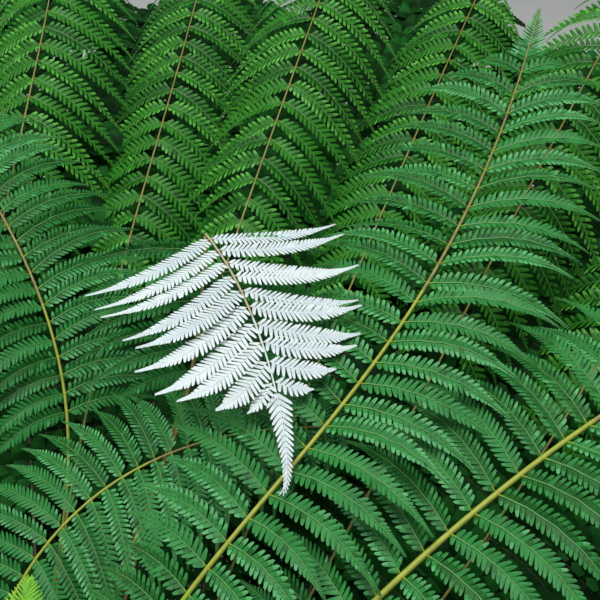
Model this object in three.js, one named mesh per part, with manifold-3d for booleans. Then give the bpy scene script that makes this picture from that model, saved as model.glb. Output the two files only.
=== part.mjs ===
// A young silver tree fern: a short fibrous trunk, a crown of arching fronds and a few young curled ones.
// Millimetres and degrees, +Z up, origin at the middle of the flat cut under the trunk. Azimuth 0 is +X, 90 is +Y.
import * as THREE from "three";
import { mergeVertices } from "three/addons/utils/BufferGeometryUtils.js";
import Module from "manifold-3d";

const wasm = await Module();
wasm.setup();

// Trunk.
const TRUNK_HEIGHT = 740;
const TRUNK_LEAN = 26;
const TRUNK_SIDES = 12;
const TRUNK_RINGS = 8;
const TRUNK_TOP_RADIUS = 84;
const TRUNK_MIDDLE_RADIUS = 96;
const TRUNK_FLARE_RADIUS = 165;
const FLARE_HEIGHT = 150;
const CROWN_CAP_HEIGHT = 90;
const STUB_COUNT = 22;
const STUB_FIRST_HEIGHT = 140;
const STUB_LAST_HEIGHT = 370;
const STUB_LENGTH = 60;
const STUB_RADIUS = 14;
const STUB_RISE = 62;
const GOLDEN_ANGLE = 137.508;

// Clearance between a frond's foot and the trunk.
const SEAT_GAP = 0.4;

// Rows of frond feet round the crown, with heights from CROWN_HEIGHT.
const CROWN_HEIGHT = 750;
const UPPER_ROW = { footRadius: 58, footHeight: 45 };
const MIDDLE_ROW = { footRadius: 76, footHeight: 0 };
const LOWER_ROW = { footRadius: 80, footHeight: -60 };
const LOWEST_ROWS = [
  { footRadius: 84, footHeight: -155 },
  { footRadius: 84, footHeight: -110 },
];

// Blade of a frond.
const STIPE_RADIUS = 11;
const RACHIS_TIP_RADIUS = 2.4;
const BARE_SHARE = 0.2;
const BARE_STEPS = 5;
const PAIRS = 15;
const PAIR_CROWDING = 1.25;
const TERMINAL_LENGTH = 170;
const TERMINAL_HALF_WIDTH = 24;
const PINNA_MAX = 250;
const PINNA_GROWTH = 110;
const PINNA_START = 25;
const BASE_SHRINK = 0.45;
const PINNA_WIDTH_SHARE = 0.42;
const PINNA_WIDEST = 0.38;
const PINNA_THICKNESS = 5;
const PINNA_LIFT = 14;
const PINNA_SAG = 0.36;
const ANGLE_AT_TIP = 60;
const ANGLE_AT_BASE = 92;

const COLOURS = {
  trunk: 0x4a3626,
  bright: 0x4f9440,
  green: 0x2f6f30,
  silver: 0xdfe6e8,
  young: 0x7cc224,
};

function radians(degrees) {
  return THREE.MathUtils.degToRad(degrees);
}

function heading(azimuth, elevation) {
  const flat = Math.cos(radians(elevation));
  return new THREE.Vector3(
    flat * Math.cos(radians(azimuth)),
    flat * Math.sin(radians(azimuth)),
    Math.sin(radians(elevation)),
  );
}

function polar(azimuth, radius, height) {
  return heading(azimuth, 0).multiplyScalar(radius).setZ(height);
}

function smoothstep(x) {
  const t = Math.min(1, Math.max(0, x));
  return t * t * (3 - 2 * t);
}

function mix(a, b, t) {
  return a + (b - a) * t;
}

// Collects points and triangles into one closed geometry.
class Shell {
  constructor() {
    this.points = [];
    this.faces = [];
  }

  add(point) {
    this.points.push(point.x, point.y, point.z);
    return this.points.length / 3 - 1;
  }

  quad(a, b, c, d) {
    this.faces.push(a, b, c, a, c, d);
  }

  triangle(a, b, c) {
    this.faces.push(a, b, c);
  }

  // Joins two rings of the same size, both counter-clockwise when seen from the far one.
  bridge(from, to) {
    from.forEach((a, i) => {
      const j = (i + 1) % from.length;
      this.quad(a, from[j], to[j], to[i]);
    });
  }

  close(ring, apex) {
    ring.forEach((a, i) => this.triangle(a, ring[(i + 1) % ring.length], apex));
  }

  geometry() {
    return new THREE.BufferGeometry()
      .setAttribute("position", new THREE.Float32BufferAttribute(this.points, 3))
      .setIndex(this.faces);
  }
}

function toSolid(geometry) {
  const bare = geometry.clone();
  bare.deleteAttribute("normal");
  bare.deleteAttribute("uv");
  const merged = mergeVertices(bare, 1e-3);
  return new wasm.Manifold(
    new wasm.Mesh({
      numProp: 3,
      vertProperties: new Float32Array(merged.attributes.position.array),
      triVerts: new Uint32Array(merged.index.array),
    }),
  );
}

function toGeometry(solid) {
  const mesh = solid.getMesh();
  return new THREE.BufferGeometry()
    .setAttribute("position", new THREE.Float32BufferAttribute(mesh.vertProperties, 3))
    .setIndex(Array.from(mesh.triVerts));
}

// A closed tube through points, with its own radius at each.
function tube(points, radii, sides) {
  const shell = new Shell();
  const rings = points.map((point, i) => {
    const before = points[Math.max(0, i - 1)];
    const after = points[Math.min(points.length - 1, i + 1)];
    const along = after.clone().sub(before).normalize();
    const reference = Math.abs(along.z) < 0.9 ? new THREE.Vector3(0, 0, 1) : new THREE.Vector3(1, 0, 0);
    const side = along.clone().cross(reference).normalize();
    const up = side.clone().cross(along);
    return Array.from({ length: sides }, (_, k) => {
      const turn = (2 * Math.PI * k) / sides;
      return shell.add(
        point
          .clone()
          .addScaledVector(side, radii[i] * Math.cos(turn))
          .addScaledVector(up, -radii[i] * Math.sin(turn)),
      );
    });
  });
  for (let i = 1; i < rings.length; i += 1) shell.bridge(rings[i - 1], rings[i]);
  shell.close(rings[0].slice().reverse(), shell.add(points[0]));
  shell.close(rings[rings.length - 1], shell.add(points[points.length - 1]));
  return shell.geometry();
}

// Radius of the trunk at a height, with its flare at the foot.
function trunkRadius(height) {
  const flare = (TRUNK_FLARE_RADIUS - TRUNK_MIDDLE_RADIUS) * Math.exp((-3 * height) / FLARE_HEIGHT);
  return mix(TRUNK_MIDDLE_RADIUS, TRUNK_TOP_RADIUS, height / TRUNK_HEIGHT) + flare;
}

// The trunk leans a little and comes upright under the crown, which stands over the origin.
function trunkAxis(height) {
  const sway = Math.sin((Math.PI * Math.min(height, TRUNK_HEIGHT)) / TRUNK_HEIGHT);
  return new THREE.Vector3(TRUNK_LEAN * sway, -TRUNK_LEAN * 0.5 * sway, height);
}

function column(extra) {
  const heights = Array.from({ length: TRUNK_RINGS + 1 }, (_, i) => TRUNK_HEIGHT * (i / TRUNK_RINGS) ** 1.3);
  const shell = new Shell();
  const ringAt = (height, radius) =>
    Array.from({ length: TRUNK_SIDES }, (_, k) =>
      shell.add(trunkAxis(height).add(polar((360 * k) / TRUNK_SIDES, radius, 0))),
    );
  const rings = heights.map((height) => ringAt(height, trunkRadius(height) + extra));
  rings.push(ringAt(TRUNK_HEIGHT + CROWN_CAP_HEIGHT * 0.6 + extra, TRUNK_TOP_RADIUS * 0.8 + extra));
  for (let i = 1; i < rings.length; i += 1) shell.bridge(rings[i - 1], rings[i]);
  shell.close(rings[0].slice().reverse(), shell.add(trunkAxis(0)));
  shell.close(rings[rings.length - 1], shell.add(trunkAxis(TRUNK_HEIGHT + CROWN_CAP_HEIGHT + extra)));
  return toSolid(shell.geometry());
}

// The worn bases of old fronds that clothe the trunk, on a golden-angle spiral.
function stub(index) {
  const height = mix(STUB_FIRST_HEIGHT, STUB_LAST_HEIGHT, index / (STUB_COUNT - 1));
  const azimuth = GOLDEN_ANGLE * index;
  const foot = trunkAxis(height).add(polar(azimuth, trunkRadius(height) - STUB_RADIUS, 0));
  const end = foot.clone().addScaledVector(heading(azimuth, STUB_RISE), STUB_LENGTH);
  return toSolid(tube([foot, end], [STUB_RADIUS, STUB_RADIUS * 0.7], 5));
}

function trunkSolid() {
  let solid = column(0);
  for (let i = 0; i < STUB_COUNT; i += 1) solid = solid.add(stub(i));
  return solid;
}

// A frond's midrib, from its foot on the crown to its tip.
function rachisCurve(frond) {
  const chordShare = (share, from, to) => share * from.distanceTo(to);
  const foot = trunkAxis(CROWN_HEIGHT + frond.row.footHeight).add(polar(frond.foot, frond.row.footRadius, 0));
  const tip = polar(frond.aim, frond.reach, CROWN_HEIGHT + frond.rise);
  return new THREE.CubicBezierCurve3(
    foot,
    foot.clone().addScaledVector(heading(frond.foot, frond.lift), chordShare(frond.near, foot, tip)),
    tip.clone().addScaledVector(heading(frond.turn, frond.pitch), -chordShare(frond.far, foot, tip)),
    tip,
  );
}

// Point and axes of the blade at a share of the midrib: along it, to its right, and out of its upper face.
function frameAt(curve, share, roll) {
  const along = curve.getTangentAt(share);
  const side = along.clone().cross(new THREE.Vector3(0, 0, 1)).normalize();
  side.applyAxisAngle(along, radians(roll));
  return { point: curve.getPointAt(share), along, side, up: side.clone().cross(along) };
}

// Length of a leaflet that stands a distance below the end leaflet, on a blade whose leaflets span `span`.
function pinnaLength(blade, distance, span) {
  const grown = 1 - Math.exp(-(distance + blade.beyond + PINNA_START) / PINNA_GROWTH);
  return blade.longest * grown * (1 - blade.shrink * smoothstep((distance / span - 0.6) / 0.4));
}

// The four corners of the midrib: top, right, bottom and left.
function ribRing(shell, frame, radius) {
  const corner = (up, side) =>
    shell.add(
      frame.point
        .clone()
        .addScaledVector(frame.up, up * radius)
        .addScaledVector(frame.side, side * radius),
    );
  return { top: corner(1, 0), right: corner(0, 1), bottom: corner(-1, 0), left: corner(0, -1) };
}

// One leaflet of the solid blade, grown from the side of the midrib between two of its rings.
function addPinna(shell, near, far, frame, hand, blade, distance, span, spacing) {
  const edge = hand > 0 ? "right" : "left";
  const length = pinnaLength(blade, distance, span);
  const angle = radians(mix(blade.tipAngle, blade.baseAngle - blade.skew * hand, Math.sqrt(distance / span)));
  const out = frame.side.clone().multiplyScalar(hand);
  const lift = radians(blade.leafLift);
  const start = out
    .clone()
    .multiplyScalar(Math.sin(angle) * Math.cos(lift))
    .addScaledVector(frame.along, Math.cos(angle))
    .addScaledVector(frame.up, Math.sin(angle) * Math.sin(lift))
    .normalize();
  const at = (v) =>
    frame.point
      .clone()
      .addScaledVector(start, v * length)
      .add(new THREE.Vector3(0, 0, -blade.sag * v * v * length));
  const tangent = at(PINNA_WIDEST + 0.1).sub(at(PINNA_WIDEST - 0.1)).normalize();
  const across = frame.along.clone().addScaledVector(tangent, -frame.along.dot(tangent)).normalize();
  const up = across.clone().cross(tangent).multiplyScalar(-hand).normalize();
  const half = Math.min(PINNA_WIDTH_SHARE * spacing, 0.3 * length);
  const middle = at(PINNA_WIDEST);
  const backMiddle = shell.add(middle.clone().addScaledVector(across, -half));
  const frontMiddle = shell.add(middle.clone().addScaledVector(across, half));
  const ridgeMiddle = shell.add(middle.clone().addScaledVector(up, PINNA_THICKNESS));
  const tip = shell.add(at(1));
  const corner = (index) => new THREE.Vector3().fromArray(shell.points, index * 3);
  const ridge = shell.add(
    corner(near.top).add(corner(far.top)).add(corner(near[edge])).add(corner(far[edge])).multiplyScalar(0.25),
  );
  const faces = [
    [near.top, ridge, far.top],
    [near.top, near[edge], ridge],
    [far.top, ridge, far[edge]],
    [ridge, near[edge], ridgeMiddle],
    [near[edge], backMiddle, ridgeMiddle],
    [ridge, ridgeMiddle, far[edge]],
    [far[edge], ridgeMiddle, frontMiddle],
    [backMiddle, tip, ridgeMiddle],
    [ridgeMiddle, tip, frontMiddle],
    [near[edge], far[edge], frontMiddle],
    [near[edge], frontMiddle, backMiddle],
    [backMiddle, frontMiddle, tip],
    [near[edge], near.bottom, far.bottom],
    [near[edge], far.bottom, far[edge]],
  ];
  faces.forEach(([a, b, c]) => (hand > 0 ? shell.triangle(a, b, c) : shell.triangle(a, c, b)));
}

// What a blade is like unless a frond says otherwise. beyond is the length of blade missing past a broken end.
const PLAIN_BLADE = {
  bare: BARE_SHARE,
  bareSteps: BARE_STEPS,
  pairs: PAIRS,
  thick: STIPE_RADIUS,
  thin: RACHIS_TIP_RADIUS,
  longest: PINNA_MAX,
  beyond: 0,
  shrink: BASE_SHRINK,
  tipAngle: ANGLE_AT_TIP,
  baseAngle: ANGLE_AT_BASE,
  skew: 0,
  leafLift: PINNA_LIFT,
  sag: PINNA_SAG,
  roll: 0,
  endLength: TERMINAL_LENGTH,
  endWidth: TERMINAL_HALF_WIDTH,
};

// A whole frond: a bare stalk, then a midrib with pairs of leaflets, then a narrow end leaflet.
function bladeGeometry(curve, changes) {
  const blade = { ...PLAIN_BLADE, ...changes };
  const shell = new Shell();
  const length = curve.getLength();
  const bare = blade.bare * length;
  const span = length - bare - blade.endLength;
  const radiusAt = (along) => mix(blade.thick, blade.thin, (along / length) ** 0.8);
  const frameFrom = (along) => frameAt(curve, Math.min(1, Math.max(0, along / length)), blade.roll);
  const stops = [];
  for (let i = 0; i < blade.bareSteps; i += 1) stops.push((bare * i) / blade.bareSteps);
  for (let k = blade.pairs; k >= 0; k -= 1) stops.push(bare + span * (1 - (k / blade.pairs) ** PAIR_CROWDING));
  const rings = stops.map((along) => ribRing(shell, frameFrom(along), radiusAt(along)));
  const around = (ring) => [ring.top, ring.right, ring.bottom, ring.left];
  rings.slice(1).forEach((ring, i) => {
    if (i < blade.bareSteps) {
      shell.bridge(around(rings[i]), around(ring));
      return;
    }
    const middle = (stops[i] + stops[i + 1]) / 2;
    const distance = bare + span - middle;
    const spacing = stops[i + 1] - stops[i];
    const frame = frameFrom(middle);
    [1, -1].forEach((hand) => addPinna(shell, rings[i], ring, frame, hand, blade, distance, span, spacing));
  });
  shell.close(around(rings[0]).reverse(), shell.add(curve.getPointAt(0)));
  const last = rings[rings.length - 1];
  const widest = frameFrom(length - blade.endLength * 0.7);
  const reaches = [blade.thin, blade.endWidth, -blade.thin, -blade.endWidth];
  const broad = ["up", "side", "up", "side"].map((axis, i) =>
    shell.add(widest.point.clone().addScaledVector(widest[axis], reaches[i])),
  );
  shell.bridge(around(last), broad);
  shell.close(broad, shell.add(curve.getPointAt(1)));
  return shell.geometry();
}

// Each frond is told by where it stands round the crown: foot and aim are the azimuths of its foot and tip, lift the
// slope at the foot, reach and rise the tip's distance and height from the crown, turn and pitch the heading and
// slope at the tip, near and far the stiffness at each end.
const BROKEN_FROND = {
  row: LOWER_ROW,
  foot: 84,
  lift: 21,
  near: 0.68,
  aim: 77,
  reach: 1090,
  rise: 500,
  turn: 86,
  pitch: 45,
  far: 0.46,
  blade: { bare: 0.765, pairs: 4, beyond: 300, leafLift: 10, sag: 0.13, roll: 2, thin: 5, endLength: 40, endWidth: 5 },
};
const LONG_FROND = {
  row: UPPER_ROW,
  foot: 67,
  lift: 51,
  near: 0.43,
  aim: 59.8,
  reach: 1880,
  rise: 650,
  turn: 71.5,
  pitch: 11.4,
  far: 0.64,
  blade: { roll: -12 },
};
const RIGHT_FROND = {
  row: UPPER_ROW,
  foot: 31,
  lift: 57,
  near: 0.3,
  aim: 30.6,
  reach: 1800,
  rise: 510,
  turn: 12,
  pitch: -12,
  far: 0.42,
  blade: { longest: 236, roll: -11 },
};
const LEFT_FROND = {
  row: LOWER_ROW,
  foot: 102,
  lift: 9.3,
  near: 0.41,
  aim: 107.5,
  reach: 1650,
  rise: 570,
  turn: 132.5,
  pitch: 13.7,
  far: 0.69,
  blade: { bare: 0.46, pairs: 12, shrink: 0.3, roll: 15 },
};
const CROSSING_FROND = {
  row: MIDDLE_ROW,
  foot: 112,
  lift: 41,
  near: 0.6,
  aim: 49,
  reach: 1030,
  rise: 250,
  turn: -10,
  pitch: -5,
  far: 0.53,
  blade: { leafLift: 8, longest: 205 },
};

// Low, long fronds that stand behind those of the photograph's middle.
const BACK_COUNT = 7;
const BACK_FOOT = 33;
const BACK_FOOT_STEP = 17;
const BACK_AIM = 46;
const BACK_AIM_STEP = 10;

function backFrond(index) {
  const high = index % 2;
  return {
    row: LOWEST_ROWS[high],
    foot: BACK_FOOT + BACK_FOOT_STEP * index,
    lift: 15,
    near: 0.35,
    aim: BACK_AIM + BACK_AIM_STEP * index,
    reach: 2450,
    rise: 550 + 100 * high,
    turn: BACK_AIM + BACK_AIM_STEP * index,
    pitch: 14,
    far: 0.4,
    blade: { bare: 0.4, pairs: 12, longest: 220, tipAngle: 72, baseAngle: 98, sag: 0.5 },
  };
}

// Fronds that fill the space under those, between the old ones and the back ones.
const UNDER_COUNT = 7;
const UNDER_START = 26;
const UNDER_STEP = 15;
const UNDER_ROWS = [
  { footRadius: 85, footHeight: -230 },
  { footRadius: 85, footHeight: -195 },
];

function underFrond(index) {
  const high = index % 2;
  const azimuth = UNDER_START + UNDER_STEP * index;
  return {
    row: UNDER_ROWS[high],
    foot: azimuth,
    lift: 14,
    near: 0.35,
    aim: azimuth,
    reach: 2500,
    rise: 300 + 100 * high,
    turn: azimuth,
    pitch: 8,
    far: 0.4,
    blade: { bare: 0.3, pairs: 10, longest: 240 },
  };
}

// Old fronds that hang lowest, under the ones of the photograph.
const OLD_COUNT = 6;
const OLD_START = 12;
const OLD_STEP = 23;
const OLD_ROW = { footRadius: 86, footHeight: -290 };

function oldFrond(index) {
  const azimuth = OLD_START + OLD_STEP * index;
  const high = index % 2;
  return {
    row: OLD_ROW,
    foot: azimuth,
    lift: 6 + 12 * high,
    near: 0.4,
    aim: azimuth,
    reach: 1600,
    rise: -330 + 120 * high,
    turn: azimuth,
    pitch: -22,
    far: 0.4,
    blade: { bare: 0.25, pairs: 10 },
  };
}

// The rest of the crown, row by row, at an even turn round to the first frond on the right.
const ROUND_START = 124;
const ROUND_STEP = 17.6;
const ROUND_COUNT = 15;
const ROUND_ROWS = [
  { row: UPPER_ROW, lift: 62, near: 0.38, reach: 1780, rise: 500, pitch: -12, far: 0.45 },
  { row: LOWER_ROW, lift: 34, near: 0.4, reach: 1620, rise: 0, pitch: -34, far: 0.4 },
  { row: MIDDLE_ROW, lift: 48, near: 0.4, reach: 1740, rise: 240, pitch: -24, far: 0.42 },
];

function roundFrond(index) {
  const shape = ROUND_ROWS[index % ROUND_ROWS.length];
  const azimuth = ROUND_START + ROUND_STEP * index;
  const stray = Math.sin(GOLDEN_ANGLE * index);
  return {
    ...shape,
    foot: azimuth,
    aim: azimuth + 2 * stray,
    reach: shape.reach * (1 + 0.03 * stray),
    rise: shape.rise + 30 * stray,
    turn: azimuth + 7 * stray,
    blade: { pairs: 12 },
  };
}

// The broken end of the broken frond, folded back over its neighbour with its silver side up.
const FOLD_START = [245, 1061.5, 504.2];
const FOLD_NEAR = [385, 795, 567];
const FOLD_FAR = [420, 532, 508];
const FOLD_TIP = [394, 527, 515];
const FOLDED_BLADE = {
  bare: 0,
  bareSteps: 0,
  pairs: 10,
  thick: 4.5,
  thin: 2,
  longest: 275,
  shrink: 0,
  tipAngle: 35,
  baseAngle: 84,
  skew: -8,
  leafLift: 3,
  sag: 0.06,
  endLength: 230,
  endWidth: 27,
};

// Young fronds, still short and narrow, round the heart of the crown.
const YOUNG_FRONDS = [
  { foot: 95, aim: 86, lift: 70, reach: 455, rise: 400 },
  { foot: 215, aim: 210, lift: 80, reach: 240, rise: 560 },
  { foot: 335, aim: 342, lift: 78, reach: 300, rise: 500 },
];
const YOUNG_SHAPE = { row: { footRadius: 26, footHeight: 48 }, near: 0.4, far: 0.35, pitch: 20 };
const YOUNG_BLADE = {
  bare: 0.4,
  bareSteps: 3,
  pairs: 8,
  thick: 7,
  thin: 2,
  longest: 46,
  endLength: 60,
  endWidth: 7,
};

const root = new THREE.Group();
const trunk = trunkSolid();
const seat = column(SEAT_GAP);

function addPart(name, geometry, colour, roughness) {
  const material = new THREE.MeshStandardMaterial({ color: colour, roughness, metalness: 0, flatShading: true });
  const mesh = new THREE.Mesh(geometry, material);
  mesh.name = name;
  root.add(mesh);
}

function addFrond(name, frond, blade, colour) {
  const solid = toSolid(bladeGeometry(rachisCurve(frond), { ...frond.blade, ...blade }));
  addPart(name, toGeometry(solid.subtract(seat)), colour, 0.6);
}

addPart("trunk", toGeometry(trunk), COLOURS.trunk, 0.95);
addFrond("frond_broken", BROKEN_FROND, {}, COLOURS.green);
addFrond("frond_long", LONG_FROND, {}, COLOURS.green);
addFrond("frond_right", RIGHT_FROND, {}, COLOURS.green);
addFrond("frond_left", LEFT_FROND, {}, COLOURS.green);
addFrond("frond_crossing", CROSSING_FROND, {}, COLOURS.green);
for (let i = 0; i < BACK_COUNT; i += 1) addFrond(`frond_back_${i + 1}`, backFrond(i), {}, COLOURS.bright);
for (let i = 0; i < UNDER_COUNT; i += 1) addFrond(`frond_under_${i + 1}`, underFrond(i), {}, COLOURS.green);
for (let i = 0; i < OLD_COUNT; i += 1) addFrond(`frond_old_${i + 1}`, oldFrond(i), {}, COLOURS.green);
for (let i = 0; i < ROUND_COUNT; i += 1) addFrond(`frond_round_${i + 1}`, roundFrond(i), {}, COLOURS.green);

const fold = new THREE.CubicBezierCurve3(
  ...[FOLD_START, FOLD_NEAR, FOLD_FAR, FOLD_TIP].map(([x, y, z]) => new THREE.Vector3(x, y, z + CROWN_HEIGHT)),
);
addPart("frond_folded_tip", bladeGeometry(fold, FOLDED_BLADE), COLOURS.silver, 0.7);
YOUNG_FRONDS.forEach((young, i) => {
  const shape = { ...YOUNG_SHAPE, ...young, turn: young.aim };
  addFrond(`frond_young_${i + 1}`, shape, YOUNG_BLADE, COLOURS.young);
});

export default root;
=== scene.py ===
# A silver tree fern: a crown of fronds with fine leaflets, a fibrous trunk, floor, light and camera.
# Metres and degrees, +Z up. Azimuth 0 is +X, 90 is +Y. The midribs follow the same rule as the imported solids.
import math

import bpy
import numpy as np
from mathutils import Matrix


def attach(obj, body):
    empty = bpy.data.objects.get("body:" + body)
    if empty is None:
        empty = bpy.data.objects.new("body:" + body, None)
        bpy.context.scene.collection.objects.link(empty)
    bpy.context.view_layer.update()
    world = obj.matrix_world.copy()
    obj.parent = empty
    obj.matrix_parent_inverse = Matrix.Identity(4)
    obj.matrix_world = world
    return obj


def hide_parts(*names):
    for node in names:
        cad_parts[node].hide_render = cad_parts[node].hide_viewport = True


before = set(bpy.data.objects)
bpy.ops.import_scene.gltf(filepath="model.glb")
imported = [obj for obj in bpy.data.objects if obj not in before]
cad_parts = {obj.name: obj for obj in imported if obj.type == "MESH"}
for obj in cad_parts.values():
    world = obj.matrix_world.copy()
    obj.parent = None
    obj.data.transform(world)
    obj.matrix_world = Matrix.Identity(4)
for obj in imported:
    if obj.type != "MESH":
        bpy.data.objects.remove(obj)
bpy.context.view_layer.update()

# Trunk, which leans towards +X and half as much towards -Y.
TRUNK_HEIGHT = 0.74
TRUNK_LEAN = 0.026
TRUNK_TOP_RADIUS = 0.084
TRUNK_MIDDLE_RADIUS = 0.096
TRUNK_FLARE_RADIUS = 0.165
FLARE_HEIGHT = 0.15
FLARE_FADE = 3
CROWN_CAP_HEIGHT = 0.09

# The trunk's skin: the points round it and up it, its ridges that wander sideways, and its lumps.
TRUNK_SEED = 90
SKIN_SIDES = 120
SKIN_RINGS = 110
DOME_RINGS = 12
DOME_START = 0.01
DOME_ROOM = 0.001
RIDGE_WAVES = (9, 14, 23, 37)
RIDGE_DEPTH = 0.02
RIDGE_DRIFTS = (0.5, 2.0)
RIDGE_WANDERS = (8, 20)
PHASES = (0, 6)
LUMP_DEPTH = 0.0012

# Root fibres that run down the skin.
FIBRE_COUNT = 150
FIBRE_STOPS = 14
FIBRE_SIDES = 5
FIBRE_FOOT = 0.004
FIBRE_LOWEST_TOP = 0.1
FIBRE_LENGTHS = (0.15, 0.5)
FIBRE_RADII = (0.0015, 0.0035)
FIBRE_RAISE = 0.0005
FIBRE_WAVES = (10, 25)
FIBRE_SWAY = 10
FIBRE_SWAY_SHARES = (0.3, 1)

# Worn bases of old fronds, with their widths from foot to end.
STUB_COUNT = 22
STUB_FIRST_HEIGHT = 0.14
STUB_LAST_HEIGHT = 0.37
STUB_LENGTH = 0.06
STUB_RADIUS = 0.014
STUB_RISE = 62
STUB_SIDES = 10
STUB_STOPS = np.array([0, 0.3, 0.6, 0.85, 0.97, 0.98])
STUB_WIDTHS = np.array([1.05, 1.0, 0.86, 0.76, 0.7, 0.45])
GOLDEN_ANGLE = 137.508

# Rows of frond feet round the crown: distance from the axis, and height from CROWN_HEIGHT.
CROWN_HEIGHT = 0.75
UPPER_ROW = (0.058, 0.045)
MIDDLE_ROW = (0.076, 0.0)
LOWER_ROW = (0.080, -0.060)
LOWEST_ROWS = [(0.084, -0.155), (0.084, -0.110)]
UNDER_ROWS = [(0.085, -0.230), (0.085, -0.195)]
OLD_ROW = (0.086, -0.290)
YOUNG_ROW = (0.026, 0.048)

# Pairs of colours for a leaf branch: darker near its rib as painted shade, lighter towards the tips of its
# leaflets as a painted highlight.
GREENS = (("green_deep", "green_mid"), ("green_mid", "green_light"), ("green_mid", "green_mid"))
BRIGHTS = (("bright_deep", "bright_mid"), ("bright_mid", "bright_light"), ("bright_mid", "bright_mid"))
# The shade pairs are leaf green darkened as painted shade, for the fronds deep under the crown.
SHADES = (("shade_deep", "shade_mid"), ("shade_mid", "shade_light"))

# What a blade is like unless a frond says otherwise.
PLAIN_BLADE = {
    # The frond: its bare foot as a share of its length, its midrib's radii, and its narrow end.
    "whole": True,
    "bare": 0.2,
    "rib": (0.0040, 0.0011),
    "roll": 0,
    "end_length": 0.17,
    "end_gap": 0.0085,
    "end_angle": 58,
    # Its leaf branches. They stand closer towards the tip where crowding is over 1, lengthen from the tip on
    # within growth, and shrink again towards the foot. Angles are from the midrib, at its tip and its foot.
    "pairs": 30,
    "crowding": 1.05,
    "longest": 0.25,
    "beyond": 0.0,
    "start": 0.025,
    "growth": 0.11,
    "shrink": 0.45,
    "lopsided": 0.0,
    "tip_angle": 60,
    "base_angle": 92,
    "skew": 0,
    "tip_skew": 0,
    "leaf_lift": 14,
    "sag": 0.36,
    "curl": 0.2,
    "tilt": 5,
    "rib_raise": 0.0012,
    # Their leaflets: the gap between them at the frond's foot and tip, their size and how they stand.
    "leaflet_gap": (0.0095, 0.0105),
    "leaflet_fill": 0.88,
    "leaflet_angle": 60,
    "half_width": 0.0195,
    "root_share": 0.6,
    "root_gap": 0.002,
    "fold": 12,
    # Finishes. A midrib has several, from its foot to its tip.
    "greens": GREENS,
    "underside": "under_silver",
    "ribs": ("rib_green", "rib_straw", "rib_tan"),
    "side_rib": "rib_pale",
}

# Midribs: how they taper, swell at the foot unless they are thin, and change their finish.
CURVE_STEPS = 800
MIDRIB_STOPS = 48
MIDRIB_SIDES = 7
RIB_TAPER = 1.8
FOOT_SWELLING = 0.006
SWELLING_REACH = 0.05
THIN_RIB = 0.0029
RIB_FINISH_PACE = 1.1

# Ribs of leaf branches, which are thinner on short branches.
SIDE_RIB_STOPS = np.array([0, 0.05, 0.2, 0.4, 0.6, 0.8, 0.92, 1.0])
SIDE_RIB_SIDES = 3
SIDE_RIB_RADII = (0.0013, 0.0006)
SHORT_BRANCH = 0.2
SHORT_BRANCH_SHARE = 0.4

# Leaf branches: where they start to shorten towards the foot, their limits, and how their leaflets are dealt.
SHRINK_START = 0.6
WIDTH_LIMIT = 0.24
BARE_LIMIT = 0.2
PLACING_STOPS = 60
LEAST_LEAFLETS = 4
STAGGER = 0.25
FULL_SPACING_WIDTH = 0.6
LEAST_SPACING = 0.35
LEAN_SHARES = (1.14, 0.8)
TAIL_FILL = 1.35

# Width of a leaf branch past its foot, as a share of its widest.
WIDTH_STOPS = [0.08, 0.20, 0.48, 0.67, 0.83, 1.0]
WIDTH_SHARES = [0.92, 1.0, 0.97, 0.68, 0.27, 0.09]

# A frond's narrow end.
END_CROWDING = 1.35
END_TIP_SHARE = 0.5
TIP_LEAFLET_LENGTH = 0.007

# How far things stray: angles in degrees, lengths as shares, and tones as the share of leaflets that differ.
ANGLE_STRAY = 2.0
LIFT_STRAY = 4.0
LENGTH_STRAY = 0.035
TILT_STRAY = 7.0
TONE_STRAY = 0.12
LEAFLET_ANGLE_STRAY = 2.5
LEAFLET_LENGTH_STRAY = 0.03


def heading(azimuth, elevation):
    a = math.radians(azimuth)
    e = math.radians(elevation)
    return np.array([math.cos(e) * math.cos(a), math.cos(e) * math.sin(a), math.sin(e)])


def polar(azimuth, radius, height):
    return heading(azimuth, 0) * radius + np.array([0.0, 0.0, height])


def mix(a, b, t):
    return a + (b - a) * t


def smoothstep(x):
    t = np.clip(x, 0, 1)
    return t * t * (3 - 2 * t)


def unit(v):
    return v / np.linalg.norm(v, axis=-1, keepdims=True)


def trunk_radius(height):
    flare = (TRUNK_FLARE_RADIUS - TRUNK_MIDDLE_RADIUS) * np.exp(-FLARE_FADE * height / FLARE_HEIGHT)
    return mix(TRUNK_MIDDLE_RADIUS, TRUNK_TOP_RADIUS, height / TRUNK_HEIGHT) + flare


def trunk_axis(height):
    height = np.asarray(height, float)
    sway = np.sin(np.pi * np.minimum(height, TRUNK_HEIGHT) / TRUNK_HEIGHT)
    return np.stack([TRUNK_LEAN * sway, -TRUNK_LEAN / 2 * sway, height], axis=-1)


# Materials.
WANDER_DETAIL = 3
WANDER_BAND = (0.3, 0.7)
BUMP_GRAIN = 400.0
BUMP_DETAIL = 2
BUMP_DEPTH = 0.001
LEAF_GLOSS = 0.24
SHADE_GLOSS = 0.04


def linear(red, green, blue):
    """A screen colour, 0 to 255, as the linear one that a material takes."""

    def channel(value):
        c = value / 255
        return c / 12.92 if c <= 0.04045 else ((c + 0.055) / 1.055) ** 2.4

    return (channel(red), channel(green), channel(blue), 1.0)


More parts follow.
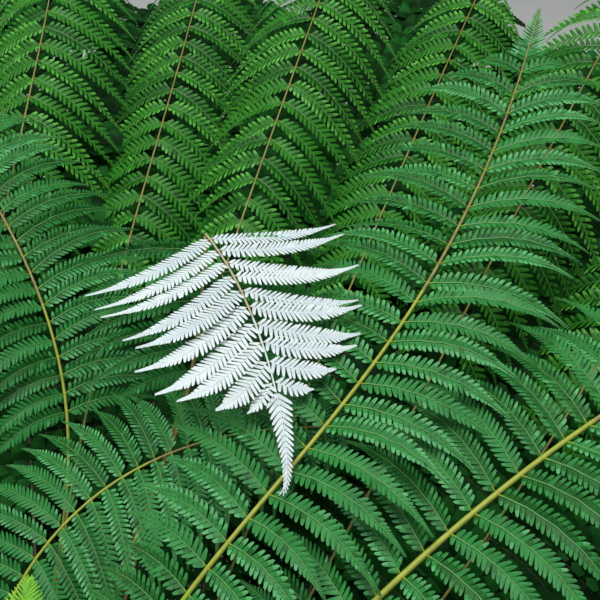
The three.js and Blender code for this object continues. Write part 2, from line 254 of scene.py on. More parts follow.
def finish(name, colour, roughness, spread=0.25, grain=60.0, bump=0.15, stretch=(1, 1, 1), specular=0.5):
    """A procedural surface: a colour that wanders a little from place to place, over a fine relief."""
    material = bpy.data.materials.new(name)
    material.use_nodes = True
    nodes = material.node_tree.nodes
    links = material.node_tree.links
    shader = nodes["Principled BSDF"]
    shader.inputs["Roughness"].default_value = roughness
    shader.inputs["Specular IOR Level"].default_value = specular
    place = nodes.new("ShaderNodeTexCoord")
    scale = nodes.new("ShaderNodeMapping")
    scale.inputs["Scale"].default_value = stretch
    links.new(place.outputs["Object"], scale.inputs["Vector"])
    wander = nodes.new("ShaderNodeTexNoise")
    wander.inputs["Scale"].default_value = grain
    wander.inputs["Detail"].default_value = WANDER_DETAIL
    links.new(scale.outputs["Vector"], wander.inputs["Vector"])
    ramp = nodes.new("ShaderNodeValToRGB")
    base = linear(*colour)
    for stop, position, share in zip(ramp.color_ramp.elements, WANDER_BAND, (1 - spread, 1 + spread)):
        stop.position = position
        stop.color = tuple(min(1.0, c * share) for c in base[:3]) + (1.0,)
    links.new(wander.outputs["Fac"], ramp.inputs["Fac"])
    links.new(ramp.outputs["Color"], shader.inputs["Base Color"])
    grit = nodes.new("ShaderNodeTexNoise")
    grit.inputs["Scale"].default_value = BUMP_GRAIN
    grit.inputs["Detail"].default_value = BUMP_DETAIL
    links.new(scale.outputs["Vector"], grit.inputs["Vector"])
    relief = nodes.new("ShaderNodeBump")
    relief.inputs["Strength"].default_value = bump
    relief.inputs["Distance"].default_value = BUMP_DEPTH
    links.new(grit.outputs["Fac"], relief.inputs["Height"])
    links.new(relief.outputs["Normal"], shader.inputs["Normal"])
    return material


def leaf_finish(name, colour):
    """The skin of a leaflet: satiny, or dull in the shade, with a soft drift of its green."""
    gloss = SHADE_GLOSS if name.startswith("shade") else LEAF_GLOSS
    return finish(name, colour, roughness=0.5, spread=0.22, grain=45.0, bump=0.1, specular=gloss)


LEAF_COLOURS = {
    "green_deep": (25, 92, 30),
    "green_mid": (44, 122, 54),
    "green_light": (82, 156, 92),
    "bright_deep": (24, 86, 11),
    "bright_mid": (44, 118, 22),
    "bright_light": (84, 158, 54),
    # Shade greens: leaf green darkened as painted shade, for the fronds deep under the crown.
    "shade_deep": (11, 42, 11),
    "shade_mid": (18, 60, 18),
    "shade_light": (26, 86, 29),
    "lime": (134, 200, 46),
    "lime_deep": (104, 176, 44),
}
FINISHES = {name: leaf_finish(name, colour) for name, colour in LEAF_COLOURS.items()}
FINISHES |= {
    "under_silver": finish("under_silver", (206, 218, 214), 0.6, spread=0.08, specular=LEAF_GLOSS),
    "silver": finish("silver", (212, 220, 218), 0.6, spread=0.06, specular=LEAF_GLOSS),
    # Silver darkened as painted shade, for the leaflets' inner faces near the ribs.
    "silver_cool": finish("silver_cool", (196, 207, 208), 0.6, spread=0.06, specular=LEAF_GLOSS),
    "rib_green": finish("rib_green", (146, 172, 40), 0.45, spread=0.15),
    "rib_straw": finish("rib_straw", (156, 164, 56), 0.5, spread=0.15),
    "rib_tan": finish("rib_tan", (146, 132, 78), 0.5, spread=0.2),
    "rib_dark": finish("rib_dark", (70, 60, 36), 0.6, spread=0.2),
    "rib_pale": finish("rib_pale", (98, 150, 78), 0.5, spread=0.12),
    "rib_beige": finish("rib_beige", (188, 172, 142), 0.5, spread=0.12),
    "rib_olive": finish("rib_olive", (134, 132, 58), 0.5, spread=0.2),
    "scale_brown": finish("scale_brown", (88, 60, 36), 0.85, spread=0.35, bump=0.5),
    "bark": finish("bark", (66, 48, 34), 0.92, spread=0.45, grain=40, bump=0.8, stretch=(1, 1, 0.25)),
    "fibre": finish("fibre", (92, 66, 44), 0.9, spread=0.4, grain=60, bump=0.6, stretch=(1, 1, 0.25)),
    "stub_end": finish("stub_end", (150, 118, 78), 0.85, spread=0.3),
    "floor": finish("floor", (206, 205, 200), 0.75, spread=0.02, grain=6, bump=0.05),
}


class Patch:
    """Points, triangles and finishes of one joined piece."""

    def __init__(self):
        self.points = []
        self.faces = []
        self.slots = []
        self.names = []
        self.count = 0

    def slot(self, name):
        if name not in self.names:
            self.names.append(name)
        return self.names.index(name)

    def add(self, points, faces, slots):
        points = points.reshape(-1, 3)
        faces = faces.reshape(-1, 3)
        self.points.append(points)
        self.faces.append(faces + self.count)
        self.slots.append(np.broadcast_to(slots, (len(faces),)))
        self.count += len(points)

    def piece(self, name, nodes, slot, smooth=False):
        """Joins everything into one object that stands for these nodes of the frame."""
        points = np.concatenate(self.points).astype(np.float32)
        faces = np.concatenate(self.faces).astype(np.int32)
        mesh = bpy.data.meshes.new(name)
        mesh.vertices.add(len(points))
        mesh.vertices.foreach_set("co", points.ravel())
        mesh.loops.add(faces.size)
        mesh.loops.foreach_set("vertex_index", faces.ravel())
        mesh.polygons.add(len(faces))
        mesh.polygons.foreach_set("loop_start", np.arange(0, faces.size, 3, dtype=np.int32))
        for finish_name in self.names:
            mesh.materials.append(FINISHES[finish_name])
        mesh.polygons.foreach_set("material_index", np.concatenate(self.slots).astype(np.int32))
        mesh.polygons.foreach_set("use_smooth", np.full(len(faces), smooth))
        mesh.update(calc_edges=True)
        thing = bpy.data.objects.new(name, mesh)
        bpy.context.scene.collection.objects.link(thing)
        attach(thing, "root")
        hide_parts(*nodes)


class Rachis:
    """A midrib on a cubic Bezier curve, measured along its length."""

    def __init__(self, *controls):
        self.controls = np.array(controls, float)
        self.shares = np.linspace(0, 1, CURVE_STEPS + 1)
        steps = np.linalg.norm(np.diff(self.point(self.shares), axis=0), axis=1)
        self.lengths = np.concatenate([[0], np.cumsum(steps)])
        self.length = self.lengths[-1]

    def point(self, t):
        t = np.asarray(t)[:, None]
        a, b, c, d = self.controls
        return (1 - t) ** 3 * a + 3 * t * (1 - t) ** 2 * b + 3 * t * t * (1 - t) * c + t**3 * d

    def slope(self, t):
        t = np.asarray(t)[:, None]
        a, b, c, d = self.controls
        return (1 - t) ** 2 * (b - a) + 2 * t * (1 - t) * (c - b) + t * t * (d - c)

    def frame(self, distances, roll=0):
        """Point, direction along, direction to the right and direction out of the upper face."""
        t = np.interp(distances, self.lengths, self.shares)
        along = unit(self.slope(t))
        level = unit(np.cross(along, [0.0, 0.0, 1.0]))
        angle = math.radians(roll)
        side = level * math.cos(angle) + np.cross(along, level) * math.sin(angle)
        return self.point(t), along, side, np.cross(side, along)


def shell(rings, sides):
    """Triangles of a closed skin through rings of points, which a middle point for each end follows."""
    here = np.arange(sides)
    there = (here + 1) % sides
    row = np.arange(rings - 1)[:, None] * sides
    a, b, c, d = row + here, row + there, row + sides + there, row + sides + here
    walls = np.stack([np.stack([a, b, c], -1), np.stack([a, c, d], -1)], axis=2).reshape(-1, 3)
    middle = rings * sides
    last = middle - sides
    first_cap = np.stack([np.full(sides, middle), there, here], -1)
    last_cap = np.stack([np.full(sides, middle + 1), last + here, last + there], -1)
    return np.concatenate([walls, first_cap, last_cap])


# Order of corners for a tube's triangles, because its rings turn the other way than the trunk's.
TUBE_CORNERS = [0, 2, 1]
# Steepness of a tube's middle from which its rings are squared to +X in place of +Z.
STEEP = 0.8


def add_tube(patch, points, radii, sides, slots):
    """A tube through points, closed to a point at each end. slots has one finish for each stretch."""
    along = unit(np.gradient(points, axis=0))
    steep = abs(along[len(along) // 2, 2]) >= STEEP
    side = unit(np.cross(along, [1.0, 0.0, 0.0] if steep else [0.0, 0.0, 1.0]))
    up = np.cross(side, along)
    turn = 2 * np.pi * np.arange(sides) / sides
    ring = np.cos(turn)[None, :, None] * side[:, None] + np.sin(turn)[None, :, None] * up[:, None]
    skin = points[:, None] + np.asarray(radii)[:, None, None] * ring
    slots = np.broadcast_to(slots, (len(points) - 1,))
    patch.add(
        np.concatenate([skin.reshape(-1, 3), points[:1], points[-1:]]),
        shell(len(points), sides)[:, TUBE_CORNERS],
        np.concatenate([np.repeat(slots, 2 * sides), np.full(sides, slots[0]), np.full(sides, slots[-1])]),
    )


# A leaflet's outline and ridge: shares of its length and width, and height as a share of its width.
LEAFLET_POINTS = np.array(
    [
        (0.00, -0.52, 0.00),
        (0.50, -0.43, 0.00),
        (0.86, -0.25, 0.00),
        (1.00, 0.12, 0.00),
        (0.88, 0.33, 0.00),
        (0.50, 0.44, 0.00),
        (0.00, 0.52, 0.00),
        (0.52, 0.02, 0.09),
    ]
)
# Inner faces, at the leaflet's root, take a pair's darker colour as painted shade; the outer ones take the
# lighter colour as a painted highlight.
LEAFLET_INNER = [(7, 0, 1), (7, 5, 6), (7, 6, 0)]
LEAFLET_OUTER = [(7, 1, 2), (7, 2, 3), (7, 3, 4), (7, 4, 5)]
LEAFLET_UNDER = [(0, 6, 5), (0, 5, 1), (1, 5, 4), (1, 4, 2), (2, 4, 3)]
LEAFLET_FACES = np.array(LEAFLET_INNER + LEAFLET_OUTER + LEAFLET_UNDER)


def add_leaflets(patch, roots, out, forward, up, lengths, widths, mirrored, tone_and_shade_pairs, under):
    """Closed leaflets of twelve faces. mirrored marks those whose forward edge lies on the other hand."""
    count = len(roots)
    inner = len(LEAFLET_INNER)
    upper = inner + len(LEAFLET_OUTER)
    shape = LEAFLET_POINTS
    points = (
        roots[:, None]
        + (lengths[:, None] * shape[:, 0])[..., None] * out[:, None]
        + (widths[:, None] * shape[:, 1])[..., None] * forward[:, None]
        + (widths[:, None] * shape[:, 2])[..., None] * up[:, None]
    )
    faces = np.where(mirrored[:, None, None], LEAFLET_FACES[:, ::-1], LEAFLET_FACES)
    faces = faces + (np.arange(count) * len(shape))[:, None, None]
    slots = np.empty((count, len(LEAFLET_FACES)), int)
    # Painted shade on the inner faces near the rib, painted highlight on the outer faces.
    slots[:, :inner] = tone_and_shade_pairs[:, :1]
    slots[:, inner:upper] = tone_and_shade_pairs[:, 1:]
    slots[:, upper:] = under
    patch.add(points, faces, slots.ravel())


def rib_radius(blade, share):
    """Radius of a midrib at a share of its length: swollen at its foot, then nearly even, then thin."""
    swelling = FOOT_SWELLING if blade["rib"][0] > THIN_RIB else 0.0
    return mix(*blade["rib"], share**RIB_TAPER) + swelling * np.exp(-share / SWELLING_REACH)


def spacing_share(v):
    """How far apart the leaflets are at a place on a leaf branch, as a share of their gap at its foot."""
    return np.clip(np.interp(v, WIDTH_STOPS, WIDTH_SHARES) / FULL_SPACING_WIDTH, LEAST_SPACING, 1)


def pinna_length(blade, distance, span):
    """Length of a leaf branch at a distance below the foot of the frond's narrow end."""
    grown = 1 - np.exp(-(np.maximum(distance, 0) + blade["beyond"] + blade["start"]) / blade["growth"])
    shrunk = smoothstep((distance / span - SHRINK_START) / (1 - SHRINK_START))
    return blade["longest"] * grown * (1 - blade["shrink"] * shrunk)


class Crown:
    """One joined piece of leaflets and one of ribs, for a group of fronds."""

    def __init__(self, name, slot):
        self.name = name
        self.slot = slot
        self.leaves = Patch()
        self.ribs = Patch()
        self.nodes = []

    def join(self):
        self.leaves.piece(f"{self.name}_leaflets", self.nodes, self.slot)
        self.ribs.piece(f"{self.name}_ribs", self.nodes, self.slot, smooth=True)

    def frond(self, node, rachis, seed, **changes):
        """A whole frond: its midrib, its leaf branches in pairs, and a narrow end of single leaflets."""
        self.nodes.append(node)
        blade = {**PLAIN_BLADE, **changes}
        rng = np.random.default_rng(seed)
        tone_and_shade_pairs = [[self.leaves.slot(name) for name in pair] for pair in blade["greens"]]
        length = rachis.length
        bare = blade["bare"] * length
        span = length - bare - blade["end_length"]
        self.midrib(rachis, blade)
        pairs = blade["pairs"]
        ends = bare + span * (1 - (np.arange(pairs, -1, -1) / pairs) ** blade["crowding"])
        places = (ends[1:] + ends[:-1]) / 2
        distances = bare + span - places
        sizes = pinna_length(blade, distances, span)
        points, along, side, up = rachis.frame(places, blade["roll"])
        openness = np.sqrt(np.clip(distances / span, 0, 1))
        thickness = rib_radius(blade, places / length)
        gaps = mix(*blade["leaflet_gap"], (places - bare) / (length - bare))
        for hand in (1, -1):
            tip_angle = blade["tip_angle"] - blade["tip_skew"] * hand
            angles = mix(tip_angle, blade["base_angle"] - blade["skew"] * hand, openness)
            angles = np.radians(angles + rng.normal(0, ANGLE_STRAY, pairs))
            lifts = np.radians(blade["leaf_lift"] + rng.normal(0, LIFT_STRAY, pairs))
            spans = sizes * (1 + blade["lopsided"] * hand + rng.normal(0, LENGTH_STRAY, pairs))
            tilts = np.radians(rng.normal(blade["tilt"], TILT_STRAY, pairs))
            picks = rng.integers(0, len(tone_and_shade_pairs), pairs)
            starts = unit(
                side * (hand * np.sin(angles) * np.cos(lifts))[:, None]
                + along * np.cos(angles)[:, None]
                + up * (np.sin(angles) * np.sin(lifts))[:, None]
            )
            for i in range(pairs):
                branch = (points[i], starts[i], along[i], hand, spans[i], tilts[i], thickness[i], gaps[i])
                self.pinna(blade, rng, *branch, tone_and_shade_pairs, picks[i])
        if blade["whole"]:
            self.end(rachis, blade, rng, tone_and_shade_pairs, span)

    def midrib(self, rachis, blade):
        """The midrib, whose finishes follow one another from its foot to its tip."""
        finishes = np.array([self.ribs.slot(name) for name in blade["ribs"]])
        stops = np.linspace(0, rachis.length, MIDRIB_STOPS)
        points = rachis.frame(stops)[0]
        shares = stops / rachis.length
        radii = rib_radius(blade, shares)
        stretch = np.minimum(len(finishes) - 1, (shares[1:] * RIB_FINISH_PACE * len(finishes)).astype(int))
        add_tube(self.ribs, points, radii, MIDRIB_SIDES, finishes[stretch])

    def end(self, rachis, blade, rng, tone_and_shade_pairs, span):
        """The narrow end of a frond: single leaflets close together, shorter and shorter."""
        reach = blade["end_length"]
        count = int(reach / blade["end_gap"])
        left = 1 - (np.arange(count) + 0.5) / count
        points, along, side, up = rachis.frame(rachis.length - reach * left**END_CROWDING, blade["roll"])
        rooms = reach / count * END_CROWDING * left ** (END_CROWDING - 1)
        longest = pinna_length(blade, np.zeros(1), span)[0]
        lengths = mix(TIP_LEAFLET_LENGTH, longest, left**END_CROWDING)
        angles = np.radians(mix(END_TIP_SHARE * blade["end_angle"], blade["end_angle"], left))
        for hand in (1, -1):
            out = side * (hand * np.sin(angles))[:, None] + along * np.cos(angles)[:, None]
            forward = along * np.sin(angles)[:, None] - side * (hand * np.cos(angles))[:, None]
            add_leaflets(
                self.leaves,
                points,
                out,
                forward,
                up,
                lengths * (1 + rng.normal(0, LENGTH_STRAY, count)),
                blade["leaflet_fill"] * rooms * np.sin(angles),
                np.full(count, hand > 0),
                np.array(tone_and_shade_pairs)[rng.integers(0, len(tone_and_shade_pairs), count)],
                self.leaves.slot(blade["underside"]),
            )

    def pinna(self, blade, rng, root, start, along, hand, size, tilt, thickness, gap, tone_and_shade_pairs, pick):
        """A leaf branch: a thin rib that sags, with leaflets along both its sides."""
        bend = -along * blade["curl"] * size
        drop = np.array([0.0, 0.0, -blade["sag"] * size])

        def at(v):
            v = np.asarray(v)[:, None]
            return root + start * v * size + bend * (v * v - v) + drop * v * v

        stops = SIDE_RIB_STOPS
        radii = mix(*SIDE_RIB_RADII, stops) * min(1.0, size / SHORT_BRANCH + SHORT_BRANCH_SHARE)
        slots = [self.ribs.slot(blade["ribs"][0])] + [self.ribs.slot(blade["side_rib"])] * (len(stops) - 2)
        raised = at(stops) + np.array([0, 0, blade["rib_raise"]])
        add_tube(self.ribs, raised, radii, SIDE_RIB_SIDES, np.array(slots))
        half = min(blade["half_width"], WIDTH_LIMIT * size)
        first = min(BARE_LIMIT, (thickness + blade["root_gap"]) / size)
        grid = np.linspace(first, 1, PLACING_STOPS)
        closeness = 1 / spacing_share(grid)
        passed = np.concatenate([[0], np.cumsum((closeness[1:] + closeness[:-1]) / 2 * np.diff(grid))])
        count = max(LEAST_LEAFLETS, int(round(size * passed[-1] / gap)))
        fold = math.radians(blade["fold"])
        for side in (1, -1):
            v = np.interp((np.arange(count) + 0.5 + STAGGER * side) / count * passed[-1], passed, grid)
            room = passed[-1] / count * size * spacing_share(v)
            tangent = unit(start * size + bend * (2 * v[:, None] - 1) + 2 * drop * v[:, None])
            across = unit(along - (tangent @ along)[:, None] * tangent)
            up = -hand * np.cross(across, tangent)
            cos_tilt, sin_tilt = math.cos(tilt), math.sin(tilt)
            across, up = across * cos_tilt + up * sin_tilt, up * cos_tilt - across * sin_tilt
            wing = across * side * math.cos(fold) + up * math.sin(fold)
            wing_up = up * math.cos(fold) - across * side * math.sin(fold)
            lean = np.radians(blade["leaflet_angle"]) * mix(*LEAN_SHARES, v)
            angle = lean[:, None] + np.radians(rng.normal(0, LEAFLET_ANGLE_STRAY, count))[:, None]
            out = tangent * np.cos(angle) + wing * np.sin(angle)
            forward = tangent * np.sin(angle) - wing * np.cos(angle)
            share = np.interp(v, [0.0, *WIDTH_STOPS], [blade["root_share"], *WIDTH_SHARES])
            lengths = half * share / np.sin(lean) * (1 + rng.normal(0, LEAFLET_LENGTH_STRAY, count))
            picks = np.where(rng.random(count) < TONE_STRAY, rng.integers(0, len(tone_and_shade_pairs), count), pick)
            add_leaflets(
                self.leaves,
                at(v),
                out,
                forward,
                wing_up,
                lengths,
                blade["leaflet_fill"] * room * np.sin(lean) * mix(TAIL_FILL, 1, share),
                np.full(count, hand * side > 0),
                np.array(tone_and_shade_pairs)[picks],
                self.leaves.slot(blade["underside"]),
            )


def rachis_of(row, foot, lift, near, aim, reach, rise, pitch, far, turn=None):
    """A frond's midrib, from its foot in a row to its tip.

    foot and aim are the azimuths of its foot and tip, and lift is the slope at its foot. reach and rise are
    the tip's distance and height from the crown. turn and pitch are the heading and slope there, and the
    heading is aim where no turn is given. near and far are the stiffness at the foot and the tip.
    """
    foot_radius, foot_height = row
    start = trunk_axis(CROWN_HEIGHT + foot_height) + polar(foot, foot_radius, 0)
    tip = polar(aim, reach, CROWN_HEIGHT + rise)
    chord = np.linalg.norm(tip - start)
    return Rachis(
        start,
        start + heading(foot, lift) * near * chord,
        tip - heading(aim if turn is None else turn, pitch) * far * chord,
        tip,
    )


# Fronds of the photograph's middle.
front = Crown("front", "green_frond")
front.frond(
    "frond_broken",
    rachis_of(
        LOWER_ROW, foot=84, lift=21, near=0.68, aim=77, reach=1.09, rise=0.5, turn=86, pitch=45, far=0.46
    ),
    seed=1,
    bare=0.765,
    pairs=6,
    whole=False,
    crowding=1.0,
    beyond=0.3,
    tip_angle=76,
    base_angle=99,
    skew=17,
    leaf_lift=10,
    sag=0.2,
    roll=2,
    rib=(0.0048, 0.0036),
    end_length=0.012,
)
front.frond(
    "frond_long",
    rachis_of(
        UPPER_ROW,
        foot=67,
        lift=51,
        near=0.43,
        aim=59.8,
        reach=1.88,
        rise=0.65,
        turn=71.5,
        pitch=11.4,
        far=0.64,
    ),
    seed=2,
    roll=-12,
    pairs=30,
    crowding=0.87,
    leaflet_gap=(0.0098, 0.0105),
)
front.frond(
    "frond_right",
    rachis_of(
        UPPER_ROW, foot=31, lift=57, near=0.3, aim=30.6, reach=1.8, rise=0.51, turn=12, pitch=-12, far=0.42
    ),
    seed=3,
    longest=0.236,
    roll=-11,
    rib=(0.0050, 0.0014),
    pairs=32,
    crowding=1.0,
    half_width=0.0185,
    leaflet_fill=0.9,
    leaflet_gap=(0.0082, 0.0090),
)
front.frond(
    "frond_left",
    rachis_of(
        LOWER_ROW,
        foot=102,
        lift=9.3,
        near=0.41,
        aim=107.5,
        reach=1.65,
        rise=0.57,
        turn=132.5,
        pitch=13.7,
        far=0.69,
    ),
    seed=4,
    bare=0.46,
    pairs=20,
    crowding=0.9,
    shrink=0.3,
    skew=13,
    rib=(0.0036, 0.0011),
    roll=15,
    leaflet_gap=(0.0090, 0.0100),
)
front.frond(
    "frond_crossing",
    rachis_of(
        MIDDLE_ROW, foot=112, lift=41, near=0.6, aim=49, reach=1.03, rise=0.25, turn=-10, pitch=-5, far=0.53
    ),
    seed=5,
    rib=(0.0030, 0.0011),
    tip_angle=84,
    base_angle=112,
    skew=-9,
    pairs=29,
    crowding=1.0,
    leaf_lift=8,
    longest=0.205,
    half_width=0.0175,
    leaflet_gap=(0.0082, 0.0090),
)
front.join()

# Low, long fronds that stand behind those of the photograph's middle, every second one higher.
BACK_COUNT = 7
BACK_FIRST_FOOT = 33
BACK_FOOT_STEP = 17
BACK_FIRST_AIM = 46
BACK_AIM_STEP = 10
BACK_RISES = (0.55, 0.65)
back = Crown("back", "bright_frond")
for i in range(BACK_COUNT):
    foot = BACK_FIRST_FOOT + BACK_FOOT_STEP * i
    aim = BACK_FIRST_AIM + BACK_AIM_STEP * i
    row, rise = LOWEST_ROWS[i % 2], BACK_RISES[i % 2]
    back.frond(
        f"frond_back_{i + 1}",
        rachis_of(row, foot=foot, lift=15, near=0.35, aim=aim, reach=2.45, rise=rise, pitch=14, far=0.4),
        seed=10 + i,
        bare=0.48,
        rib=(0.0030, 0.0010),
        pairs=21,
        longest=0.235,
        tip_angle=88,
        base_angle=118,
        leaf_lift=-6,
        sag=0.62,
        curl=0.1,
        leaflet_gap=(0.0114, 0.0118),
        leaflet_fill=0.95,
        half_width=0.025,
        greens=BRIGHTS,
        ribs=("rib_olive",),
    )
back.join()

# Fronds that fill the space under those, between the old ones and the back ones. Their green is the leaf's own,
# darkened as painted shade of the deep crown.
UNDER_COUNT = 7
UNDER_FIRST = 26
UNDER_STEP = 15
UNDER_RISES = (0.30, 0.40)
under = Crown("under", "green_frond")
for i in range(UNDER_COUNT):
    aim = UNDER_FIRST + UNDER_STEP * i
    row, rise = UNDER_ROWS[i % 2], UNDER_RISES[i % 2]
    under.frond(
        f"frond_under_{i + 1}",
        rachis_of(row, foot=aim, lift=14, near=0.35, aim=aim, reach=2.5, rise=rise, pitch=8, far=0.4),
        seed=80 + i,
        bare=0.3,
        pairs=32,
        longest=0.42,
        tip_angle=80,
        growth=0.05,
        leaflet_gap=(0.036, 0.036),
        root_share=1.2,
        root_gap=-0.018,
        leaflet_fill=1.2,
        half_width=0.052,
        greens=SHADES,
        ribs=("rib_dark",),
        side_rib="rib_dark",
    )
under.join()

# Old fronds that hang lowest, under the ones of the photograph. Their green is the leaf's own, darkened as
# painted shade of the deep crown.
OLD_COUNT = 6
OLD_FIRST = 12
OLD_STEP = 23
OLD_LIFTS = (6, 18)
OLD_RISES = (-0.33, -0.21)
old = Crown("old", "green_frond")
for i in range(OLD_COUNT):
    aim = OLD_FIRST + OLD_STEP * i
    lift, rise = OLD_LIFTS[i % 2], OLD_RISES[i % 2]
    old.frond(
        f"frond_old_{i + 1}",
        rachis_of(OLD_ROW, foot=aim, lift=lift, near=0.4, aim=aim, reach=1.6, rise=rise, pitch=-22, far=0.4),
        seed=20 + i,
        bare=0.25,
        pairs=28,
        longest=0.27,
        leaflet_gap=(0.026, 0.026),
        root_share=1.2,
        root_gap=-0.018,
        leaflet_fill=1.15,
        half_width=0.036,
        greens=SHADES,
        ribs=("rib_dark",),
        side_rib="rib_dark",
    )
old.join()

# The rest of the crown, row by row, at an even turn. Each frond strays a little from its place.
ROUND_COUNT = 15
ROUND_GROUPS = 3
ROUND_FIRST = 124
ROUND_STEP = 17.6
ROUND_AIM_STRAY = 2
ROUND_TURN_STRAY = 7
ROUND_TIP_STRAY = 0.03
ROUND_ROWS = [
    {"row": UPPER_ROW, "lift": 62, "near": 0.38, "reach": 1.78, "rise": 0.50, "pitch": -12, "far": 0.45},
    {"row": LOWER_ROW, "lift": 34, "near": 0.40, "reach": 1.62, "rise": 0.00, "pitch": -34, "far": 0.40},
    {"row": MIDDLE_ROW, "lift": 48, "near": 0.40, "reach": 1.74, "rise": 0.24, "pitch": -24, "far": 0.42},
]
rounds = [Crown(f"round_{k + 1}", "green_frond") for k in range(ROUND_GROUPS)]
for i in range(ROUND_COUNT):
    azimuth = ROUND_FIRST + ROUND_STEP * i
    stray = math.sin(GOLDEN_ANGLE * i)
    midrib = dict(ROUND_ROWS[i % len(ROUND_ROWS)])
    midrib["reach"] *= 1 + ROUND_TIP_STRAY * stray
    midrib["rise"] += ROUND_TIP_STRAY * stray
    aim = azimuth + ROUND_AIM_STRAY * stray
    turn = azimuth + ROUND_TURN_STRAY * stray
    rounds[i * ROUND_GROUPS // ROUND_COUNT].frond(
        f"frond_round_{i + 1}",
        rachis_of(foot=azimuth, aim=aim, turn=turn, **midrib),
        seed=30 + i,
        pairs=28,
        leaflet_gap=(0.0180, 0.0185),
        half_width=0.024,
    )
for crown in rounds:
    crown.join()

# The broken end of the broken frond, folded back over its neighbour with its silver side up.
# FOLD_CONTROLS has the control points of its midrib, with their heights from CROWN_HEIGHT.
FOLD_CONTROLS = [(0.245, 1.0615, 0.5042), (0.385, 0.795, 0.567), (0.420, 0.532, 0.508), (0.394, 0.527, 0.515)]
silver = Crown("silver_tip", "silver_frond")
silver.frond(
    "frond_folded_tip",
    Rachis(*[(x, y, z + CROWN_HEIGHT) for x, y, z in FOLD_CONTROLS]),
    seed=60,
    bare=0.0,
    pairs=10,
    crowding=1.02,
    rib=(0.0020, 0.0009),
    growth=0.115,
    start=0.015,
    curl=0.45,
    longest=0.246,
    lopsided=0.05,
    shrink=0,
    tip_angle=49,
    tip_skew=11,
    end_angle=46,
    base_angle=77.5,
    skew=-3,
    leaf_lift=3,
    sag=0.06,
    end_length=0.165,
    end_gap=0.0080,
    rib_raise=0.0,
    half_width=0.0215,
    leaflet_gap=(0.0074, 0.0070),
    leaflet_fill=0.92,
    leaflet_angle=62,
    fold=4,
    tilt=3,
    # Painted shade near the ribs: a darker silver on the leaflets' inner faces.
    greens=(("silver_cool", "silver"), ("silver", "silver")),
    underside="green_mid",
    ribs=("rib_beige", "silver"),
    side_rib="silver",
)
silver.join()

# Young fronds round the heart of the crown.
YOUNG_PLANS = [
    {"foot": 95, "lift": 70, "aim": 86, "reach": 0.455, "rise": 0.40},
    {"foot": 215, "lift": 80, "aim": 210, "reach": 0.24, "rise": 0.56},
    {"foot": 335, "lift": 78, "aim": 342, "reach": 0.30, "rise": 0.50},
]
young = Crown("young", "young_frond")
for i, plan in enumerate(YOUNG_PLANS):
    young.frond(
        f"frond_young_{i + 1}",
        rachis_of(YOUNG_ROW, **plan, near=0.4, pitch=20, far=0.35),
        seed=70 + i,
        bare=0.4,
        pairs=16,
        rib=(0.0029, 0.0010),
        longest=0.078,
        growth=0.03,
        end_length=0.06,
        half_width=0.014,
        leaflet_gap=(0.0080, 0.0080),
        end_gap=0.005,
        # The deeper lime is painted shade on the leaflets' inner faces near the ribs, and the underside's own
        # colour.
        greens=(("lime_deep", "lime"), ("lime", "lime")),
        underside="lime_deep",
        ribs=("lime",),
        side_rib="lime",
    )
young.join()


def add_skin(patch, rng):
    """The trunk's skin, with ridges that wander up it, and a dome on top."""
    lower = np.linspace(0, TRUNK_HEIGHT, SKIN_RINGS)
    heights = np.concatenate([lower, TRUNK_HEIGHT + np.linspace(DOME_START, CROWN_CAP_HEIGHT, DOME_RINGS)])
    angles = 2 * np.pi * np.arange(SKIN_SIDES) / SKIN_SIDES
    dome = np.clip((heights - TRUNK_HEIGHT) / (CROWN_CAP_HEIGHT + DOME_ROOM), 0, 1)
    radii = trunk_radius(np.minimum(heights, TRUNK_HEIGHT)) * np.sqrt(1 - dome**2)
    ridges = np.zeros((len(heights), SKIN_SIDES))
    for wave in RIDGE_WAVES:
        phase = rng.uniform(0, 2 * np.pi)
        drift = rng.uniform(*RIDGE_DRIFTS)
        wander = np.sin(heights * rng.uniform(*RIDGE_WANDERS) + rng.uniform(*PHASES))[:, None] * drift
        ridges += np.sin(wave * angles[None] + phase + wander) * RIDGE_DEPTH / wave**0.5
    lumps = rng.normal(0, LUMP_DEPTH, ridges.shape)
    skin_radius = radii[:, None] * (1 + ridges) + lumps
    ring = np.stack([np.cos(angles), np.sin(angles), np.zeros(SKIN_SIDES)], -1)
    points = trunk_axis(heights)[:, None] + skin_radius[..., None] * ring[None]
    ends = trunk_axis([0, TRUNK_HEIGHT + CROWN_CAP_HEIGHT])
    patch.add(
        np.concatenate([points.reshape(-1, 3), ends]),
        shell(len(heights), SKIN_SIDES),
        patch.slot("bark"),
    )


def add_fibres(patch, rng):
    """Root fibres that wind down the trunk."""
    slot = patch.slot("fibre")
    for _ in range(FIBRE_COUNT):
        azimuth = rng.uniform(0, 360)
        top = rng.uniform(FIBRE_LOWEST_TOP, TRUNK_HEIGHT)
        low = max(FIBRE_FOOT, top - rng.uniform(*FIBRE_LENGTHS))
        heights = np.linspace(top, low, FIBRE_STOPS)
        waves = FIBRE_SWAY * np.sin(heights * rng.uniform(*FIBRE_WAVES) + rng.uniform(*PHASES))
        sway = np.radians(azimuth + waves * rng.uniform(*FIBRE_SWAY_SHARES))
        directions = np.stack([np.cos(sway), np.sin(sway), 0 * sway], -1)
        path = trunk_axis(heights) + directions * (trunk_radius(heights) + FIBRE_RAISE)[:, None]
        add_tube(patch, path, np.full(FIBRE_STOPS, rng.uniform(*FIBRE_RADII)), FIBRE_SIDES, slot)


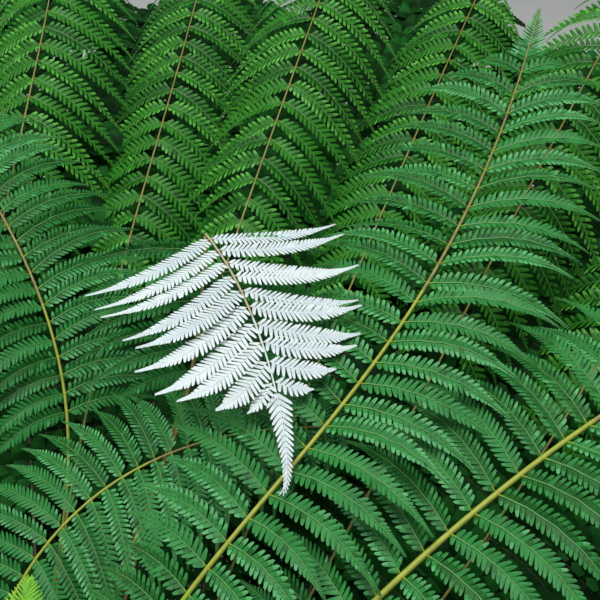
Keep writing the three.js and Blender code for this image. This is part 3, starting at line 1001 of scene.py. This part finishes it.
def add_stubs(patch):
    """The worn bases of old fronds, brown with a paler end."""
    slots = np.array([patch.slot("scale_brown")] * (len(STUB_STOPS) - 2) + [patch.slot("stub_end")])
    for i in range(STUB_COUNT):
        height = mix(STUB_FIRST_HEIGHT, STUB_LAST_HEIGHT, i / (STUB_COUNT - 1))
        azimuth = GOLDEN_ANGLE * i
        start = trunk_axis(height) + polar(azimuth, trunk_radius(height) - STUB_RADIUS, 0)
        path = start + STUB_STOPS[:, None] * STUB_LENGTH * heading(azimuth, STUB_RISE)
        add_tube(patch, path, STUB_RADIUS * STUB_WIDTHS, STUB_SIDES, slots)


trunk = Patch()
trunk_rng = np.random.default_rng(TRUNK_SEED)
add_skin(trunk, trunk_rng)
add_fibres(trunk, trunk_rng)
add_stubs(trunk)
trunk.piece("trunk_bark", ["trunk"], "trunk", smooth=True)

# Floor.
FLOOR_SIZE = 16
bpy.ops.mesh.primitive_plane_add(size=FLOOR_SIZE)
floor = bpy.context.object
floor.name = "floor"
floor.data.materials.append(FINISHES["floor"])

# Light: a soft sky, a large lamp overhead, a weak one at the side and two low ones for the undersides.
SKY_COLOUR = (0.86, 0.93, 1.0, 1.0)
SKY_STRENGTH = 0.19
COOL_LIGHT = (0.94, 0.98, 1.0)
WARM_LIGHT = (1.0, 1.0, 0.97)
world = bpy.data.worlds.new("sky")
bpy.context.scene.world = world
world.use_nodes = True
sky = world.node_tree.nodes["Background"]
sky.inputs["Color"].default_value = SKY_COLOUR
sky.inputs["Strength"].default_value = SKY_STRENGTH


def add_lamp(name, place, target, size, power, colour):
    """A soft square lamp that shines on its target and stays out of the picture."""
    light = bpy.data.lights.new(name, "AREA")
    light.size = size
    light.energy = power
    light.color = colour
    lamp = bpy.data.objects.new(name, light)
    bpy.context.scene.collection.objects.link(lamp)
    lamp.location = place
    lamp.visible_camera = False
    direction = np.array(target) - np.array(place)
    lamp.rotation_euler = (
        math.acos(-direction[2] / np.linalg.norm(direction)),
        0,
        math.atan2(direction[1], direction[0]) - math.pi / 2,
    )


add_lamp("overhead", (-0.3, 1.4, 5.2), target=(0.3, 0.9, 0.9), size=2.6, power=208, colour=COOL_LIGHT)
add_lamp("side", (-4.0, -1.0, 3.2), target=(0.0, 0.5, 0.9), size=2.5, power=15, colour=WARM_LIGHT)
add_lamp("low_right", (8.5, 7.5, 2.2), target=(0.3, 0.8, 0.7), size=3.0, power=140, colour=WARM_LIGHT)
add_lamp("low_left", (-8.5, 8.0, 2.2), target=(0.0, 0.8, 0.7), size=3.0, power=140, colour=WARM_LIGHT)

# Camera, just in front of the crown and looking down into it.
CAMERA_PLACE = (0.42, 0.0, 2.25)
CAMERA_TILT = 42
CAMERA_FIELD = 42
camera_data = bpy.data.cameras.new("camera")
camera_data.angle = math.radians(CAMERA_FIELD)
camera = bpy.data.objects.new("camera", camera_data)
bpy.context.scene.collection.objects.link(camera)
camera.location = CAMERA_PLACE
camera.rotation_euler = (math.radians(CAMERA_TILT), 0, 0)
bpy.context.scene.camera = camera
bpy.context.scene.view_settings.view_transform = "Standard"
